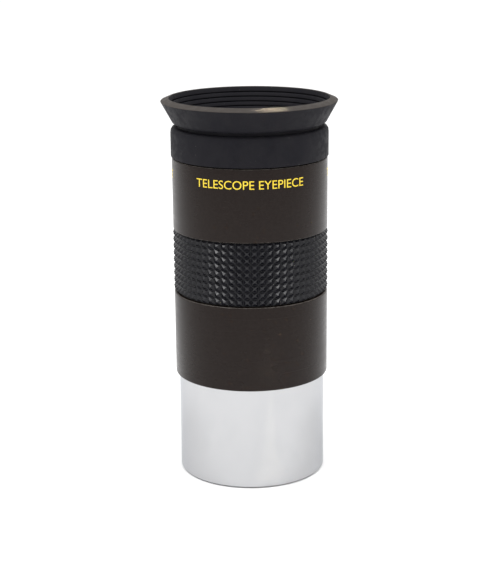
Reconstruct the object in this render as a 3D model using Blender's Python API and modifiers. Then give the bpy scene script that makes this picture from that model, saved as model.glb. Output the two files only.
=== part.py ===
"""A 1.25 inch telescope eyepiece with a folding rubber eyecup, built piece by piece.

Frame: metres, +Z up along the optical axis, origin at the centre of the barrel's bottom rim.
The eyepiece stands on its barrel, and the eye looks down into the eyecup at the top.
Every turned piece is an outline in the XZ plane, spun about Z by a Screw modifier.
"""

from math import cos, pi, radians, sin, sqrt

import bmesh
import bpy

MM = 0.001
SEGMENTS = 48          # sides of every turned piece, the same on all so that they nest
ARC_STEPS = 4          # straight pieces along one curved lens face
ROUND_STEPS = 3        # straight pieces round one soft rubber edge

# Clearances
SEAT_GAP = 0.3 * MM    # between faces that seat on each other
TURN_GAP = 0.1 * MM    # radial, between a turned piece and the bore that it sits in
SEAM_GAP = 0.25 * MM   # the open line seen where rubber meets metal
GLASS_GAP = 0.1 * MM   # between the pieces of the lens stack, cement included
EDGE = 0.2 * MM        # small chamfer on turned metal edges

# Barrel: the standard 1.25 inch tube that slides into the focuser
BARREL_RADIUS = 15.875 * MM
BARREL_LENGTH = 22.2 * MM
BARREL_WALL = 2.275 * MM
BARREL_MOUTH_CHAMFER = 0.4 * MM
BARREL_SEAT_DEPTH = 0.8 * MM        # the barrel's shoulder is let this far into the housing
FILTER_THREAD_WALL = 1.625 * MM     # wall left outside the filter thread's relief
FILTER_THREAD_DEPTH = 5.0 * MM
SPIGOT_STEP = 0.975 * MM            # the threaded spigot is this much smaller in radius
SPIGOT_LENGTH = 5.0 * MM

# Housing: two black halves, screwed together under the grip
SHOULDER_WIDTH = 0.725 * MM         # how far the housing stands out past the barrel
LOWER_LENGTH = 18.23 * MM
GRIP_LENGTH = 13.85 * MM
UPPER_LENGTH = 15.32 * MM
GRIP_SEAT_DEPTH = 1.1 * MM          # how deep the grip is let into the housing
JOINT_WALL = 0.8 * MM               # wall of the lower half around the joint's spigot
JOINT_SPIGOT_WALL = 1.6 * MM
JOINT_SEAM_HEIGHT = 6.5 * MM        # the joint's seam, above the grip's lower edge
LOWER_BORE_WALL = 2.7 * MM
NECK_STEP = 1.5 * MM                # the neck inside the eyecup is this much smaller
NECK_LENGTH = 6.0 * MM
NECK_WALL = 1.0 * MM
LOCK_SCREW_RADIUS = 1.0 * MM
LOCK_SCREW_BITE = 0.4 * MM          # how far the screw reaches into the joint's spigot
LOCK_SCREW_SOCKET = 0.45 * MM
LOCK_SCREW_DEPTH_LEFT = 0.3 * MM    # the screw ends this far below the grip's seat

# Grip: a rubber band of small square pyramids
GRIP_ROWS = 9
GRIP_COLUMNS = 64
GRIP_BASE_DEPTH = 0.55 * MM         # valleys between the pyramids, below the housing's surface
GRIP_POINT_HEIGHT = 0.65 * MM

# Optics: two cemented doublets, their crown elements facing each other
CELL_WALL = 1.9 * MM
CELL_LIP = 0.9 * MM                 # how far the cell's lip reaches over the eye lens
CELL_LIP_THICKNESS = 0.8 * MM
OUTER_FACE_CURVE = 290.0 * MM       # radii of curvature
CEMENT_CURVE = 22.3 * MM
INNER_FACE_CURVE = 33.3 * MM
FLINT_CENTRE = 1.6 * MM
CROWN_EDGE = 1.2 * MM
CROWN_SPACING = 0.5 * MM            # air between the two crowns on the axis
SEAL_THICKNESS = 0.4 * MM
SEAL_WIDTH = 0.6 * MM
SPACER_WIDTH = 0.9 * MM
RETAINER_LENGTH = 2.0 * MM
RETAINER_WIDTH = 0.8 * MM
CELL_FOOT = 1.1 * MM                # cell wall left below the retainer
LOCK_RING_THICKNESS = 1.3 * MM
LOCK_RING_WIDTH = 2.4 * MM
SLOT_WIDTH = 1.2 * MM
SLOT_DEPTH = 0.7 * MM

# Field stop and baffle
FIELD_STOP_BELOW_LENS = 17.8 * MM
FIELD_STOP_THICKNESS = 2.0 * MM
FIELD_STOP_OPENING = 11.75 * MM     # radius
FIELD_STOP_KNIFE = 0.2 * MM
BAFFLE_LENGTH = 7.9 * MM
BAFFLE_FOOT = 1.2 * MM              # the spigot reaches this far below the baffle
BAFFLE_WALL = 0.6 * MM
BAFFLE_RIDGE = 0.5 * MM
BAFFLE_RIDGES = 3

# Eyecup: one soft moulding, parted here where it flexes
SLEEVE_WALL = 1.6 * MM
SLEEVE_ROUND = 1.3 * MM             # soft shoulder at the top of the sleeve
GROOVE_DEPTH = 1.6 * MM             # groove under the skirt, in from the sleeve's surface
COLLAR_WALL = 1.0 * MM
COLLAR_HEIGHT = 0.7 * MM
SKIRT_SLOPE = 0.548                 # outward for each unit upward
SKIRT_WALL = 2.09 * MM              # measured level, across the cone
SKIRT_UNDERCUT = 1.035 * MM         # the cone's foot stands out this far past the collar
SKIRT_FOOT_ROUND = 0.6 * MM
SKIRT_HEIGHT = 4.0 * MM
LIP_HEIGHT = 1.14 * MM
LIP_DROP = 0.71 * MM                # the rim's outer edge is this much lower than its inner one

# Levels, from the bottom up
HOUSING_BOTTOM = BARREL_LENGTH
GRIP_BOTTOM = HOUSING_BOTTOM + LOWER_LENGTH
GRIP_TOP = GRIP_BOTTOM + GRIP_LENGTH
HOUSING_SHOULDER = GRIP_TOP + UPPER_LENGTH
NECK_TOP = HOUSING_SHOULDER + NECK_LENGTH
JOINT_TOP = GRIP_BOTTOM + JOINT_SEAM_HEIGHT
BARREL_SEAT = HOUSING_BOTTOM + BARREL_SEAT_DEPTH
BARREL_SHOULDER = BARREL_SEAT - SEAT_GAP
SPIGOT_TOP = BARREL_SHOULDER + SPIGOT_LENGTH

# Radii, from the barrel outward and from the housing inward
BARREL_BORE = BARREL_RADIUS - BARREL_WALL
FILTER_BORE = BARREL_RADIUS - FILTER_THREAD_WALL
BARREL_SEAT_BORE = BARREL_RADIUS + TURN_GAP
SPIGOT_RADIUS = BARREL_RADIUS - SPIGOT_STEP
SPIGOT_BORE = SPIGOT_RADIUS + TURN_GAP
HOUSING_RADIUS = BARREL_RADIUS + SHOULDER_WIDTH
GRIP_SEAT_RADIUS = HOUSING_RADIUS - GRIP_SEAT_DEPTH
JOINT_BORE = GRIP_SEAT_RADIUS - JOINT_WALL
JOINT_RADIUS = JOINT_BORE - TURN_GAP
LIGHT_BORE = JOINT_RADIUS - JOINT_SPIGOT_WALL
LOWER_BORE = HOUSING_RADIUS - LOWER_BORE_WALL
LOCK_SCREW_START = JOINT_RADIUS - LOCK_SCREW_BITE
LOCK_SCREW_END = GRIP_SEAT_RADIUS - LOCK_SCREW_DEPTH_LEFT
LOCK_SCREW_HEIGHT = (GRIP_BOTTOM + JOINT_TOP) / 2
NECK_RADIUS = HOUSING_RADIUS - NECK_STEP
CELL_BORE_IN_HOUSING = NECK_RADIUS - NECK_WALL
CELL_RADIUS = CELL_BORE_IN_HOUSING - TURN_GAP
LENS_BORE = CELL_RADIUS - CELL_WALL
LENS_RADIUS = LENS_BORE - TURN_GAP

FINISHES = {           # colour, roughness, metallic
    "chrome": ((0.62, 0.62, 0.64, 1.0), 0.22, 1.0),
    "black_anodised": ((0.018, 0.016, 0.015, 1.0), 0.30, 0.3),
    "matt_black": ((0.010, 0.010, 0.010, 1.0), 0.75, 0.0),
    "rubber": ((0.020, 0.020, 0.024, 1.0), 0.60, 0.0),
    "nylon": ((0.05, 0.05, 0.05, 1.0), 0.60, 0.0),
    "crown_glass": ((0.80, 0.92, 0.86, 1.0), 0.03, 0.0),
    "flint_glass": ((0.70, 0.86, 0.90, 1.0), 0.03, 0.0),
    "steel": ((0.35, 0.35, 0.36, 1.0), 0.35, 1.0),
}


# Helpers

def clear_scene():
    """Remove whatever the file opened with."""
    for obj in list(bpy.data.objects):
        bpy.data.objects.remove(obj, do_unlink=True)


def new_collection(name):
    collection = bpy.data.collections.new(name)
    bpy.context.scene.collection.children.link(collection)
    return collection


def finish_material(finish):
    """The Principled material of a finish, made once."""
    material = bpy.data.materials.get(finish)
    if material is None:
        colour, roughness, metallic = FINISHES[finish]
        material = bpy.data.materials.new(finish)
        material.use_nodes = True
        shader = material.node_tree.nodes["Principled BSDF"]
        shader.inputs["Base Color"].default_value = colour
        shader.inputs["Roughness"].default_value = roughness
        shader.inputs["Metallic"].default_value = metallic
        material.diffuse_color = colour
    return material


def dress(obj, finish, collection):
    """Put an object in the collection with its own copy of a finish."""
    collection.objects.link(obj)
    material = finish_material(finish).copy()
    material.name = obj.name
    obj.data.materials.append(material)
    return obj


def turned(name, outline, finish, collection, closed=True):
    """A turned piece. The outline holds (radius, height) points, down its outer side first."""
    mesh = bpy.data.meshes.new(name)
    count = len(outline)
    edges = [(i, i + 1) for i in range(count - 1)]
    if closed:
        edges.append((count - 1, 0))
    mesh.from_pydata([(radius, 0.0, height) for radius, height in outline], edges, [])
    obj = dress(bpy.data.objects.new(name, mesh), finish, collection)
    screw = obj.modifiers.new("Turn", "SCREW")
    screw.axis = "Z"
    screw.angle = 2 * pi
    screw.steps = SEGMENTS
    screw.render_steps = SEGMENTS
    screw.use_merge_vertices = True
    screw.merge_threshold = 0.00001
    screw.use_smooth_shade = True
    return obj


def cut(obj, cutter):
    """Take the cutter's shape out of the object."""
    boolean = obj.modifiers.new("Cut", "BOOLEAN")
    boolean.operation = "DIFFERENCE"
    boolean.solver = "EXACT"
    boolean.object = cutter


def as_cutter(obj, collection):
    collection.objects.link(obj)
    obj.hide_render = True
    obj.display_type = "WIRE"
    return obj


def box_cutter(name, size, centre, cutters):
    mesh = bpy.data.meshes.new(name)
    form = bmesh.new()
    bmesh.ops.create_cube(form, size=1.0)
    bmesh.ops.scale(form, vec=size, verts=form.verts)
    form.to_mesh(mesh)
    form.free()
    obj = as_cutter(bpy.data.objects.new(name, mesh), cutters)
    obj.location = centre
    return obj


def radial_cylinder(name, radius, start, end, height, sides):
    """A cylinder lying along +X from start to end, at this height, as a mesh object."""
    mesh = bpy.data.meshes.new(name)
    form = bmesh.new()
    bmesh.ops.create_cone(
        form, cap_ends=True, segments=sides, radius1=radius, radius2=radius, depth=end - start
    )
    form.to_mesh(mesh)
    form.free()
    obj = bpy.data.objects.new(name, mesh)
    obj.rotation_euler = (0.0, pi / 2, 0.0)
    obj.location = ((start + end) / 2, 0.0, height)
    return obj


def spanner_slots(obj, outer_radius, face_height, cutters):
    """A straight slot across a ring's face, so that a pin spanner can turn it."""
    width = 2 * outer_radius + 2 * MM
    size = (width, SLOT_WIDTH, 2 * SLOT_DEPTH)
    cut(obj, box_cutter(obj.name + "_slot", size, (0.0, 0.0, face_height), cutters))


def sag(curve, radius):
    """How far a spherical face of this curvature falls away at this radius from the axis."""
    return curve - sqrt(curve * curve - radius * radius)


def arc(centre, radius, start, end, steps):
    """Points round an arc in the outline's plane, between two angles in degrees."""
    turn = [radians(start + (end - start) * i / steps) for i in range(steps + 1)]
    return [(centre[0] + radius * cos(a), centre[1] + radius * sin(a)) for a in turn]


# Levels of the lens stack, from the eye end down
CELL_TOP = NECK_TOP - SEAT_GAP - LOCK_RING_THICKNESS - SEAT_GAP
CELL_LIP_BOTTOM = CELL_TOP - CELL_LIP_THICKNESS
CELL_APERTURE = LENS_BORE - CELL_LIP
OUTER_SAG = sag(OUTER_FACE_CURVE, LENS_RADIUS)
CEMENT_SAG = sag(CEMENT_CURVE, LENS_RADIUS)
INNER_SAG = sag(INNER_FACE_CURVE, LENS_RADIUS)
FLINT_EDGE = FLINT_CENTRE + CEMENT_SAG - OUTER_SAG

EYE_SEAL_TOP = CELL_LIP_BOTTOM - GLASS_GAP
EYE_FLINT_TOP = EYE_SEAL_TOP - SEAL_THICKNESS - GLASS_GAP
EYE_FLINT_BOTTOM = EYE_FLINT_TOP - FLINT_EDGE
EYE_CROWN_TOP = EYE_FLINT_BOTTOM - GLASS_GAP
EYE_CROWN_BOTTOM = EYE_CROWN_TOP - CROWN_EDGE
FIELD_CROWN_TOP = EYE_CROWN_BOTTOM - 2 * INNER_SAG - CROWN_SPACING
FIELD_CROWN_BOTTOM = FIELD_CROWN_TOP - CROWN_EDGE
FIELD_FLINT_TOP = FIELD_CROWN_BOTTOM - GLASS_GAP
FIELD_FLINT_BOTTOM = FIELD_FLINT_TOP - FLINT_EDGE
FIELD_SEAL_TOP = FIELD_FLINT_BOTTOM - GLASS_GAP
RETAINER_TOP = FIELD_SEAL_TOP - SEAL_THICKNESS - GLASS_GAP
RETAINER_BOTTOM = RETAINER_TOP - RETAINER_LENGTH
CELL_BOTTOM = RETAINER_BOTTOM - CELL_FOOT
CELL_SHELF = CELL_BOTTOM - SEAT_GAP
FIELD_STOP_TOP = FIELD_FLINT_BOTTOM - OUTER_SAG - FIELD_STOP_BELOW_LENS
BAFFLE_TOP = CELL_SHELF
BAFFLE_BOTTOM = BAFFLE_TOP - BAFFLE_LENGTH
JOINT_SPIGOT_END = BAFFLE_BOTTOM - BAFFLE_FOOT
JOINT_POCKET = JOINT_SPIGOT_END - SEAT_GAP

# Levels of the eyecup, from the sleeve up
SLEEVE_BOTTOM = HOUSING_SHOULDER + SEAM_GAP
SLEEVE_BORE = NECK_RADIUS + TURN_GAP
SLEEVE_RADIUS = SLEEVE_BORE + SLEEVE_WALL
COLLAR_RADIUS = SLEEVE_RADIUS - GROOVE_DEPTH
FLANGE_BOTTOM = NECK_TOP + SEAT_GAP
SLEEVE_TOP = FLANGE_BOTTOM + COLLAR_HEIGHT / 2
COLLAR_TOP = FLANGE_BOTTOM + COLLAR_HEIGHT
SKIRT_BOTTOM = COLLAR_TOP + SEAM_GAP
SKIRT_TOP = SKIRT_BOTTOM + SKIRT_HEIGHT
LIP_BOTTOM = SKIRT_TOP + SEAM_GAP
LIP_TOP = LIP_BOTTOM + LIP_HEIGHT
LIP_OUTER_HEIGHT = LIP_TOP - LIP_DROP
LIP_OUTER_RADIUS = COLLAR_RADIUS + SKIRT_SLOPE * (LIP_OUTER_HEIGHT - SKIRT_BOTTOM) + SKIRT_UNDERCUT


# Pieces

def make_barrel(pieces):
    """Chrome tube with a filter thread's relief at its mouth and a spigot that the housing screws on."""
    bore_step = FILTER_BORE - BARREL_BORE
    outline = [
        (SPIGOT_RADIUS, SPIGOT_TOP),
        (SPIGOT_RADIUS, BARREL_SHOULDER),
        (BARREL_RADIUS, BARREL_SHOULDER),
        (BARREL_RADIUS, BARREL_MOUTH_CHAMFER),
        (BARREL_RADIUS - BARREL_MOUTH_CHAMFER, 0.0),
        (FILTER_BORE + EDGE, 0.0),
        (FILTER_BORE, EDGE),
        (FILTER_BORE, FILTER_THREAD_DEPTH),
        (BARREL_BORE, FILTER_THREAD_DEPTH + bore_step),
        (BARREL_BORE, SPIGOT_TOP),
    ]
    turned("barrel", outline, "chrome", pieces)


def make_lower_housing(pieces, cutters):
    """Lower half: takes the barrel's spigot below and the upper half's spigot above."""
    spigot_pocket = SPIGOT_TOP + SEAT_GAP
    outline = [
        (GRIP_SEAT_RADIUS, JOINT_TOP),
        (GRIP_SEAT_RADIUS, GRIP_BOTTOM),
        (HOUSING_RADIUS - EDGE, GRIP_BOTTOM),
        (HOUSING_RADIUS, GRIP_BOTTOM - EDGE),
        (HOUSING_RADIUS, HOUSING_BOTTOM + EDGE),
        (HOUSING_RADIUS - EDGE, HOUSING_BOTTOM),
        (BARREL_SEAT_BORE, HOUSING_BOTTOM),
        (BARREL_SEAT_BORE, BARREL_SEAT),
        (SPIGOT_BORE, BARREL_SEAT),
        (SPIGOT_BORE, spigot_pocket),
        (LOWER_BORE, spigot_pocket),
        (LOWER_BORE, JOINT_POCKET),
        (JOINT_BORE, JOINT_POCKET),
        (JOINT_BORE, JOINT_TOP),
    ]
    housing = turned("lower_housing", outline, "black_anodised", pieces)
    cut(housing, lock_screw_hole("lower_lock_hole", cutters))


def make_upper_housing(pieces, cutters):
    """Upper half: holds the lens cell, and its neck carries the eyecup."""
    outline = [
        (NECK_RADIUS - EDGE, NECK_TOP),
        (NECK_RADIUS, NECK_TOP - EDGE),
        (NECK_RADIUS, HOUSING_SHOULDER),
        (HOUSING_RADIUS - EDGE, HOUSING_SHOULDER),
        (HOUSING_RADIUS, HOUSING_SHOULDER - EDGE),
        (HOUSING_RADIUS, GRIP_TOP),
        (GRIP_SEAT_RADIUS, GRIP_TOP),
        (GRIP_SEAT_RADIUS, JOINT_TOP + SEAT_GAP),
        (JOINT_RADIUS, JOINT_TOP + SEAT_GAP),
        (JOINT_RADIUS, JOINT_SPIGOT_END),
        (LIGHT_BORE, JOINT_SPIGOT_END),
        (LIGHT_BORE, CELL_SHELF),
        (CELL_BORE_IN_HOUSING, CELL_SHELF),
        (CELL_BORE_IN_HOUSING, NECK_TOP),
    ]
    housing = turned("upper_housing", outline, "black_anodised", pieces)
    cut(housing, lock_screw_hole("upper_lock_hole", cutters))


def lock_screw_hole(name, cutters):
    """A blind hole from the grip's seat through the joint, for the lock screw."""
    start = LOCK_SCREW_START - SEAT_GAP
    radius = LOCK_SCREW_RADIUS + TURN_GAP
    hole = radial_cylinder(name, radius, start, HOUSING_RADIUS, LOCK_SCREW_HEIGHT, 16)
    return as_cutter(hole, cutters)


def make_lock_screw(pieces, cutters):
    """Grub screw that locks the two housing halves, under the grip."""
    screw = radial_cylinder(
        "housing_lock_screw", LOCK_SCREW_RADIUS, LOCK_SCREW_START, LOCK_SCREW_END,
        LOCK_SCREW_HEIGHT, 16,
    )
    dress(screw, "steel", pieces)
    socket_start = (LOCK_SCREW_START + LOCK_SCREW_END) / 2
    socket = radial_cylinder(
        "lock_screw_socket", LOCK_SCREW_SOCKET, socket_start, HOUSING_RADIUS, LOCK_SCREW_HEIGHT, 6
    )
    cut(screw, as_cutter(socket, cutters))


def make_grip(pieces):
    """Rubber band of square pyramids in straight rows and columns."""
    bottom = GRIP_BOTTOM + SEAM_GAP
    top = GRIP_TOP - SEAM_GAP
    inner = GRIP_SEAT_RADIUS + TURN_GAP
    base = HOUSING_RADIUS - GRIP_BASE_DEPTH
    pitch = (top - bottom) / GRIP_ROWS
    form = bmesh.new()
    outer_side = [form.verts.new((base, 0.0, top - pitch * row)) for row in range(GRIP_ROWS + 1)]
    inner_side = [form.verts.new((inner, 0.0, bottom)), form.verts.new((inner, 0.0, top))]
    ring = outer_side + inner_side
    edges = [form.edges.new((ring[i - 1], ring[i])) for i in range(len(ring))]
    bmesh.ops.spin(
        form, geom=ring + edges, cent=(0.0, 0.0, 0.0), axis=(0.0, 0.0, 1.0),
        angle=2 * pi, steps=GRIP_COLUMNS, use_merge=True,
    )
    bmesh.ops.recalc_face_normals(form, faces=form.faces)
    on_surface = 0.9 * base + 0.1 * inner
    outside = [
        face for face in form.faces
        if min(vertex.co.xy.length for vertex in face.verts) > on_surface
    ]
    bmesh.ops.poke(form, faces=outside, offset=GRIP_POINT_HEIGHT)
    mesh = bpy.data.meshes.new("grip_ring")
    form.to_mesh(mesh)
    form.free()
    dress(bpy.data.objects.new("grip_ring", mesh), "rubber", pieces)


def make_field_stop(pieces, cutters):
    """Threaded ring whose knife edge bounds the view, in the lower housing's bore."""
    outer = LOWER_BORE - TURN_GAP
    bottom = FIELD_STOP_TOP - FIELD_STOP_THICKNESS
    funnel = (FIELD_STOP_OPENING + outer) / 2
    outline = [
        (outer, FIELD_STOP_TOP),
        (outer, bottom),
        (funnel, bottom),
        (FIELD_STOP_OPENING, FIELD_STOP_TOP - FIELD_STOP_KNIFE),
        (FIELD_STOP_OPENING, FIELD_STOP_TOP),
    ]
    ring = turned("field_stop_ring", outline, "matt_black", pieces)
    spanner_slots(ring, outer, bottom, cutters)


def make_baffle(pieces):
    """Ridged black sleeve that stops stray light below the lens cell."""
    outer = LIGHT_BORE - TURN_GAP
    inner = outer - BAFFLE_WALL
    pitch = BAFFLE_LENGTH / BAFFLE_RIDGES
    outline = [(outer, BAFFLE_TOP), (outer, BAFFLE_BOTTOM)]
    for ridge in range(BAFFLE_RIDGES):
        start = BAFFLE_BOTTOM + pitch * ridge
        outline.append((inner, start))
        outline.append((inner - BAFFLE_RIDGE, start + 0.9 * pitch))
    outline.append((inner, BAFFLE_TOP))
    turned("light_baffle", outline, "matt_black", pieces)


def make_lens_cell(pieces):
    """Black tube that holds both doublets, with a lip over the eye lens."""
    bevel_start = CELL_LIP_BOTTOM + CELL_LIP_THICKNESS / 2
    outline = [
        (CELL_RADIUS, CELL_TOP),
        (CELL_RADIUS, CELL_BOTTOM),
        (LENS_BORE, CELL_BOTTOM),
        (LENS_BORE, CELL_LIP_BOTTOM),
        (CELL_APERTURE, CELL_LIP_BOTTOM),
        (CELL_APERTURE, bevel_start),
        (CELL_APERTURE + CELL_LIP_THICKNESS / 2, CELL_TOP),
    ]
    turned("lens_cell", outline, "matt_black", pieces)


def make_cell_lock_ring(pieces, cutters):
    """Threaded ring above the lens cell, seen at the bottom of the eyecup."""
    bottom = CELL_TOP + SEAT_GAP
    top = bottom + LOCK_RING_THICKNESS
    inner = CELL_RADIUS - LOCK_RING_WIDTH
    outline = [
        (CELL_RADIUS, top),
        (CELL_RADIUS, bottom),
        (inner, bottom),
        (inner, bottom + EDGE),
        (inner + LOCK_RING_THICKNESS - EDGE, top),
    ]
    ring = turned("cell_lock_ring", outline, "matt_black", pieces)
    spanner_slots(ring, CELL_RADIUS, top, cutters)


def make_ring(name, outer, inner, top, height, finish, pieces):
    outline = [(outer, top), (outer, top - height), (inner, top - height), (inner, top)]
    return turned(name, outline, finish, pieces)


def make_lens_hardware(pieces, cutters):
    """The seals, the spacer and the retaining ring that hold the glass in its cell."""
    seal_bore = LENS_RADIUS - SEAL_WIDTH
    make_ring("eye_lens_seal", LENS_RADIUS, seal_bore, EYE_SEAL_TOP, SEAL_THICKNESS, "nylon", pieces)
    make_ring("field_lens_seal", LENS_RADIUS, seal_bore, FIELD_SEAL_TOP, SEAL_THICKNESS, "nylon", pieces)

    spacer_bore = LENS_RADIUS - SPACER_WIDTH
    bulge = INNER_SAG - sag(INNER_FACE_CURVE, spacer_bore)
    spacer_top = EYE_CROWN_BOTTOM - bulge - GLASS_GAP
    spacer_bottom = FIELD_CROWN_TOP + bulge + GLASS_GAP
    make_ring(
        "lens_spacer", LENS_RADIUS, spacer_bore, spacer_top, spacer_top - spacer_bottom,
        "matt_black", pieces,
    )

    retainer_bore = LENS_RADIUS - RETAINER_WIDTH
    retainer = make_ring(
        "field_lens_retainer", LENS_RADIUS, retainer_bore, RETAINER_TOP, RETAINER_LENGTH,
        "matt_black", pieces,
    )
    spanner_slots(retainer, LENS_RADIUS, RETAINER_BOTTOM, cutters)


def lens_face(edge_height, curve, bulge, steps):
    """Points from the axis out to the rim of a face. A bulge of 1 rises at its centre, -1 sinks."""
    rim_sag = sag(curve, LENS_RADIUS)
    radii = [LENS_RADIUS * i / steps for i in range(steps + 1)]
    return [(r, edge_height + bulge * (rim_sag - sag(curve, r))) for r in radii]


def make_lens(name, top, bottom, finish, pieces):
    """An element, from the (edge height, curve, bulge, steps) of its two faces."""
    outline = lens_face(*top) + lens_face(*bottom)[::-1]
    turned(name, outline, finish, pieces, closed=False)


def make_lenses(pieces):
    """Flint, crown, air, crown, flint, from the eye down."""
    outer_steps = 2
    make_lens(
        "eye_lens_flint",
        (EYE_FLINT_TOP, OUTER_FACE_CURVE, 1, outer_steps),
        (EYE_FLINT_BOTTOM, CEMENT_CURVE, 1, ARC_STEPS),
        "flint_glass", pieces,
    )
    make_lens(
        "eye_lens_crown",
        (EYE_CROWN_TOP, CEMENT_CURVE, 1, ARC_STEPS),
        (EYE_CROWN_BOTTOM, INNER_FACE_CURVE, -1, ARC_STEPS),
        "crown_glass", pieces,
    )
    make_lens(
        "field_lens_crown",
        (FIELD_CROWN_TOP, INNER_FACE_CURVE, 1, ARC_STEPS),
        (FIELD_CROWN_BOTTOM, CEMENT_CURVE, -1, ARC_STEPS),
        "crown_glass", pieces,
    )
    make_lens(
        "field_lens_flint",
        (FIELD_FLINT_TOP, CEMENT_CURVE, -1, ARC_STEPS),
        (FIELD_FLINT_BOTTOM, OUTER_FACE_CURVE, -1, outer_steps),
        "flint_glass", pieces,
    )


def make_eyecup(pieces):
    """The rubber eyecup: a sleeve on the neck, a flexing cone, and the lip that folds down."""
    collar_inner = COLLAR_RADIUS - COLLAR_WALL
    shoulder_centre = (SLEEVE_RADIUS - SLEEVE_ROUND, SLEEVE_TOP - SLEEVE_ROUND)
    shoulder = arc(shoulder_centre, SLEEVE_ROUND, 90.0, 0.0, ROUND_STEPS)
    sleeve = [(COLLAR_RADIUS, COLLAR_TOP), (COLLAR_RADIUS, SLEEVE_TOP)] + shoulder + [
        (SLEEVE_RADIUS, SLEEVE_BOTTOM + EDGE),
        (SLEEVE_RADIUS - EDGE, SLEEVE_BOTTOM),
        (SLEEVE_BORE, SLEEVE_BOTTOM),
        (SLEEVE_BORE, FLANGE_BOTTOM),
        (collar_inner, FLANGE_BOTTOM),
        (collar_inner, COLLAR_TOP),
    ]
    turned("eyecup_sleeve", sleeve, "rubber", pieces)

    foot = SKIRT_BOTTOM + SKIRT_FOOT_ROUND
    skirt = [
        (skirt_outer(SKIRT_TOP), SKIRT_TOP),
        (skirt_outer(foot), foot),
        (skirt_outer(SKIRT_BOTTOM), SKIRT_BOTTOM + SKIRT_FOOT_ROUND / 2),
        (skirt_outer(SKIRT_BOTTOM) - SKIRT_FOOT_ROUND, SKIRT_BOTTOM),
        (skirt_inner(SKIRT_BOTTOM), SKIRT_BOTTOM),
        (skirt_inner(SKIRT_TOP), SKIRT_TOP),
    ]
    turned("eyecup_skirt", skirt, "rubber", pieces)

    lip = [
        (skirt_inner(LIP_TOP), LIP_TOP),
        (LIP_OUTER_RADIUS, LIP_OUTER_HEIGHT),
        (skirt_outer(LIP_BOTTOM), LIP_BOTTOM),
        (skirt_inner(LIP_BOTTOM), LIP_BOTTOM),
    ]
    turned("eyecup_lip", lip, "rubber", pieces)


def skirt_outer(height):
    """Outer radius of the eyecup's cone at this height."""
    return LIP_OUTER_RADIUS + SKIRT_SLOPE * (height - LIP_OUTER_HEIGHT)


def skirt_inner(height):
    return skirt_outer(height) - SKIRT_WALL


def main():
    clear_scene()
    pieces = new_collection("telescope_eyepiece")
    cutters = new_collection("cutters")
    make_barrel(pieces)
    make_lower_housing(pieces, cutters)
    make_upper_housing(pieces, cutters)
    make_lock_screw(pieces, cutters)
    make_grip(pieces)
    make_field_stop(pieces, cutters)
    make_baffle(pieces)
    make_lens_cell(pieces)
    make_cell_lock_ring(pieces, cutters)
    make_lens_hardware(pieces, cutters)
    make_lenses(pieces)
    make_eyecup(pieces)


main()
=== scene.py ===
# %% [markdown]
# # A 1.25 inch telescope eyepiece
#
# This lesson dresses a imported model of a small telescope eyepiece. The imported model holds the
# sizes, the joints and the bodies. Here each visible piece is modelled again in fine detail at
# the same place, given its finish, and told which body it rides on.
#
# The eyepiece stands on its chrome barrel. Above it come a black housing, a rubber grip of
# small pyramids, the lettered upper housing, and a flared rubber eyecup. The +Z axis is the
# optical axis, and nearly everything is turned about it.

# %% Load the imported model
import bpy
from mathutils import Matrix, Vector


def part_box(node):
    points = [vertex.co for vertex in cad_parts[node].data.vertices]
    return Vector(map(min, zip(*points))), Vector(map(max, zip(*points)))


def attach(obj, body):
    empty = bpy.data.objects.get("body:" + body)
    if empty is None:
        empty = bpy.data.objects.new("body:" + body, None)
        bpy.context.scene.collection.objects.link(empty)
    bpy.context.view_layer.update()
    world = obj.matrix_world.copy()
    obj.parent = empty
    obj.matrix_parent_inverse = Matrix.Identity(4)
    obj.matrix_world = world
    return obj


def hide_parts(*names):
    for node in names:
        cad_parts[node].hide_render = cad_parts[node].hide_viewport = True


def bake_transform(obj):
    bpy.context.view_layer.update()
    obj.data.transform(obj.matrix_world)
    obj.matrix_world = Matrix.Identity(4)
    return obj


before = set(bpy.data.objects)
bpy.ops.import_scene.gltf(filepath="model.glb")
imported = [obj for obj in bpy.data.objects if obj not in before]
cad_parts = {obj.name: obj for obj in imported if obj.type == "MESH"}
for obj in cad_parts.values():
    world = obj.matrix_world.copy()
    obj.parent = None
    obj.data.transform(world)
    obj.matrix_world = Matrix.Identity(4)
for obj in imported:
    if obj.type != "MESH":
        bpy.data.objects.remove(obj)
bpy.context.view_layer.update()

from math import cos, pi, radians, sin, sqrt

import bpy
from mathutils import Matrix, Vector

# %% [markdown]
# ## Sizes
#
# Millimetres are handier than metres on an object this small. Levels along the axis and outer
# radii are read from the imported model's boxes, so that nothing is fitted by eye. What no box can
# say, such as a bore or a wall, is named here once.

# %% Read the levels and radii
MM = 0.001


def bottom(node):
    """A node's lowest level, in millimetres."""
    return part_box(node)[0].z / MM


def top(node):
    """A node's highest level, in millimetres."""
    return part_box(node)[1].z / MM


def radius(node):
    """A node's outer radius, in millimetres."""
    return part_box(node)[1].x / MM


SEAM = 0.25
BARREL_RADIUS = radius("barrel")
HOUSING_RADIUS = radius("lower_housing")
HOUSING_BOTTOM = bottom("lower_housing")
GRIP_BOTTOM = bottom("grip_ring")
GRIP_TOP = top("grip_ring")
SHOULDER = bottom("eyecup_sleeve") - SEAM
NECK_TOP = top("upper_housing")
RIM_TOP = top("eyecup_lip")
print(f"barrel radius {BARREL_RADIUS:.3f} mm, housing radius {HOUSING_RADIUS:.3f} mm, "
      f"rim at {RIM_TOP:.2f} mm")

# %% [markdown]
# ## Turning
#
# A turned piece starts as an outline: half of its section, drawn in the XZ plane. One vertex is
# extruded from corner to corner, and the finished wire is spun once round the axis. Corners of
# real turned parts are never knife sharp, so a corner may carry a small rounding, which becomes
# a short curve of points. The rounding is what catches a line of light along each edge.

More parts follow.
